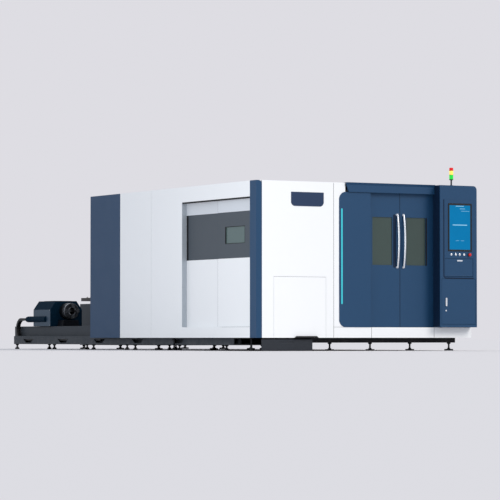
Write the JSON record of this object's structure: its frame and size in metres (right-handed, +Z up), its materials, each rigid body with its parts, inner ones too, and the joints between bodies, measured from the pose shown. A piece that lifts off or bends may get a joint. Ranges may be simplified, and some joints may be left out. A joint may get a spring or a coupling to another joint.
{
  "type": "fiber laser cutting machine",
  "caption": "Enclosed laser cutter for sheet and tube: cabin with sliding doors, console, tube bed with travelling chuck, and a two-tier pallet exchange table.",
  "frame": {"origin": "middle of the bounding box on the floor", "axes": "+Z up, -Y towards the operator's front face, +Y along the cabin towards the exchange table, +X to the console side"},
  "size_m": [3.31, 8.045, 2.45],
  "materials": {
    "blue_paint": "satin powder coat",
    "white_paint": "satin powder coat",
    "frame_grey": "matt dark grey paint",
    "rail_steel": "machined steel",
    "silver": "satin",
    "tinted_glass": "tinted laser-safe acrylic",
    "screen": "glossy display",
    "black_plastic": "matt",
    "red_plastic": "gloss",
    "lamp_green": "translucent lens",
    "lamp_yellow": "translucent lens",
    "lamp_red": "translucent lens"
  },
  "bodies": {
    "machine": {"corner_trim": "blue_paint", "side_frame_panels": "white_paint", "side_fixed_leaf": "white_paint", "side_panels": "white_paint", "side_panel_end": "blue_paint", "front_left_panel": "white_paint", "name_plate": "blue_paint", "front_surround": "white_paint", "blue_panel": "blue_paint", "front_header": "blue_paint", "lower_band": "white_paint", "right_side_panel": "white_paint", "rear_panel": "white_paint", "roof_panel": "white_paint", "enclosure_frame": "frame_grey", "door_track": "rail_steel", "console_shell": "blue_paint", "control_screen": "screen", "signal_pole": "silver", "signal_lamp_green": "lamp_green", "signal_lamp_yellow": "lamp_yellow", "signal_lamp_red": "lamp_red", "main_bed": "frame_grey", "linear_rails": "rail_steel", "exchange_frame": "frame_grey", "tube_bed": "frame_grey", "front_chuck_housing": "frame_grey", "drag_chain": "black_plastic", "levelling_feet": "rail_steel"},
    "side_door": {"side_door": "white_paint", "side_door_window": "tinted_glass"},
    "front_door_left": {"front_door_left": "blue_paint", "door_window_left": "tinted_glass", "door_handle_left": "silver"},
    "front_door_right": {"front_door_right": "blue_paint", "door_window_right": "tinted_glass", "door_handle_right": "silver"},
    "outlet_door": {"outlet_door": "white_paint"},
    "keyboard_flap": {"keyboard_flap": "blue_paint"},
    "cabinet_door": {"cabinet_door": "blue_paint"},
    "cabinet_latch": {"cabinet_latch": "silver"},
    "push_button_1": {"push_button_1": "silver"},
    "push_button_2": {"push_button_2": "silver"},
    "push_button_3": {"push_button_3": "silver"},
    "push_button_4": {"push_button_4": "silver"},
    "emergency_stop": {"emergency_stop": "red_plastic"},
    "gantry": {"gantry_beam": "frame_grey"},
    "head_carriage": {"head_carriage": "silver"},
    "cutting_head": {"cutting_head": "silver"},
    "chuck_carriage": {"chuck_housing": "blue_paint"},
    "rear_chuck": {"rear_chuck": "rail_steel"},
    "chuck_jaw_1": {"chuck_jaw_1": "rail_steel"},
    "chuck_jaw_2": {"chuck_jaw_2": "rail_steel"},
    "chuck_jaw_3": {"chuck_jaw_3": "rail_steel"},
    "chuck_jaw_4": {"chuck_jaw_4": "rail_steel"},
    "front_chuck": {"front_chuck": "rail_steel"},
    "pallet_lower": {"pallet_lower": "rail_steel"},
    "lift": {"lift_frame": "frame_grey"},
    "pallet_upper": {"pallet_upper": "rail_steel"},
    "scrap_drawer": {"scrap_drawer": "frame_grey"}
  },
  "joints": [
    {"name": "side_door_slide", "type": "slide", "parent": "machine", "child": "side_door", "axis": [0, 1, 0], "range_m": [0, 0.9]},
    {"name": "front_door_left_slide", "type": "slide", "parent": "machine", "child": "front_door_left", "axis": [-1, 0, 0], "range_m": [0, 0.4]},
    {"name": "front_door_right_slide", "type": "slide", "parent": "machine", "child": "front_door_right", "axis": [1, 0, 0], "range_m": [0, 0.4]},
    {"name": "outlet_door_hinge", "type": "hinge", "parent": "machine", "child": "outlet_door", "pos_m": [-0.616, -3.8375, 0.56], "axis": [0, 0, 1], "range_deg": [0, 100]},
    {"name": "keyboard_flap_hinge", "type": "hinge", "parent": "machine", "child": "keyboard_flap", "pos_m": [1.36, -3.9805, 0.992], "axis": [1, 0, 0], "range_deg": [0, 90]},
    {"name": "cabinet_door_hinge", "type": "hinge", "parent": "machine", "child": "cabinet_door", "pos_m": [1.621, -3.9875, 0.65], "axis": [0, 0, 1], "range_deg": [0, 105]},
    {"name": "cabinet_latch_turn", "type": "hinge", "parent": "cabinet_door", "child": "cabinet_latch", "pos_m": [1.153, -3.9935, 0.687], "axis": [0, 1, 0], "range_deg": [0, 90]},
    {"name": "push_button_1_press", "type": "slide", "parent": "machine", "child": "push_button_1", "axis": [0, 1, 0], "range_m": [0, 0.004], "stiffness_N_per_m": 400},
    {"name": "push_button_2_press", "type": "slide", "parent": "machine", "child": "push_button_2", "axis": [0, 1, 0], "range_m": [0, 0.004], "stiffness_N_per_m": 400},
    {"name": "push_button_3_press", "type": "slide", "parent": "machine", "child": "push_button_3", "axis": [0, 1, 0], "range_m": [0, 0.004], "stiffness_N_per_m": 400},
    {"name": "push_button_4_press", "type": "slide", "parent": "machine", "child": "push_button_4", "axis": [0, 1, 0], "range_m": [0, 0.004], "stiffness_N_per_m": 400},
    {"name": "emergency_stop_press", "type": "slide", "parent": "machine", "child": "emergency_stop", "axis": [0, 1, 0], "range_m": [0, 0.006], "stiffness_N_per_m": 900},
    {"name": "gantry_travel", "type": "slide", "parent": "machine", "child": "gantry", "axis": [0, 1, 0], "range_m": [0, 2.9]},
    {"name": "head_carriage_travel", "type": "slide", "parent": "gantry", "child": "head_carriage", "axis": [1, 0, 0], "range_m": [-1.22, 1.15]},
    {"name": "cutting_head_lower", "type": "slide", "parent": "head_carriage", "child": "cutting_head", "axis": [0, 0, -1], "range_m": [0, 0.2]},
    {"name": "chuck_carriage_travel", "type": "slide", "parent": "machine", "child": "chuck_carriage", "axis": [0, -1, 0], "range_m": [0, 4.4], "deforming": ["drag_chain"]},
    {"name": "rear_chuck_spin", "type": "hinge", "parent": "chuck_carriage", "child": "rear_chuck", "pos_m": [-1.275, 2.3825, 0.567], "axis": [0, 1, 0], "continuous": true},
    {"name": "chuck_jaw_1_grip", "type": "slide", "parent": "rear_chuck", "child": "chuck_jaw_1", "axis": [-1, 0, 0], "range_m": [0, 0.028]},
    {"name": "chuck_jaw_2_grip", "type": "slide", "parent": "rear_chuck", "child": "chuck_jaw_2", "axis": [0, 0, -1], "range_m": [0, 0.028]},
    {"name": "chuck_jaw_3_grip", "type": "slide", "parent": "rear_chuck", "child": "chuck_jaw_3", "axis": [1, 0, 0], "range_m": [0, 0.028]},
    {"name": "chuck_jaw_4_grip", "type": "slide", "parent": "rear_chuck", "child": "chuck_jaw_4", "axis": [0, 0, 1], "range_m": [0, 0.028]},
    {"name": "front_chuck_spin", "type": "hinge", "parent": "machine", "child": "front_chuck", "pos_m": [-1.275, -2.7625, 0.567], "axis": [0, 1, 0], "continuous": true},
    {"name": "pallet_lower_slide", "type": "slide", "parent": "machine", "child": "pallet_lower", "axis": [0, 1, 0], "range_m": [0, 3.52]},
    {"name": "lift_lower", "type": "slide", "parent": "machine", "child": "lift", "axis": [0, 0, -1], "range_m": [0, 0.2]},
    {"name": "pallet_upper_slide", "type": "slide", "parent": "lift", "child": "pallet_upper", "axis": [0, -1, 0], "range_m": [0, 3.52]},
    {"name": "scrap_drawer_slide", "type": "slide", "parent": "machine", "child": "scrap_drawer", "axis": [0, -1, 0], "range_m": [0, 0.35]}
  ],
  "couplings": [
    {"joint": "chuck_jaw_2_grip", "follows": "chuck_jaw_1_grip", "ratio": 1},
    {"joint": "chuck_jaw_3_grip", "follows": "chuck_jaw_1_grip", "ratio": 1},
    {"joint": "chuck_jaw_4_grip", "follows": "chuck_jaw_1_grip", "ratio": 1},
    {"joint": "front_chuck_spin", "follows": "rear_chuck_spin", "ratio": 1}
  ]
}
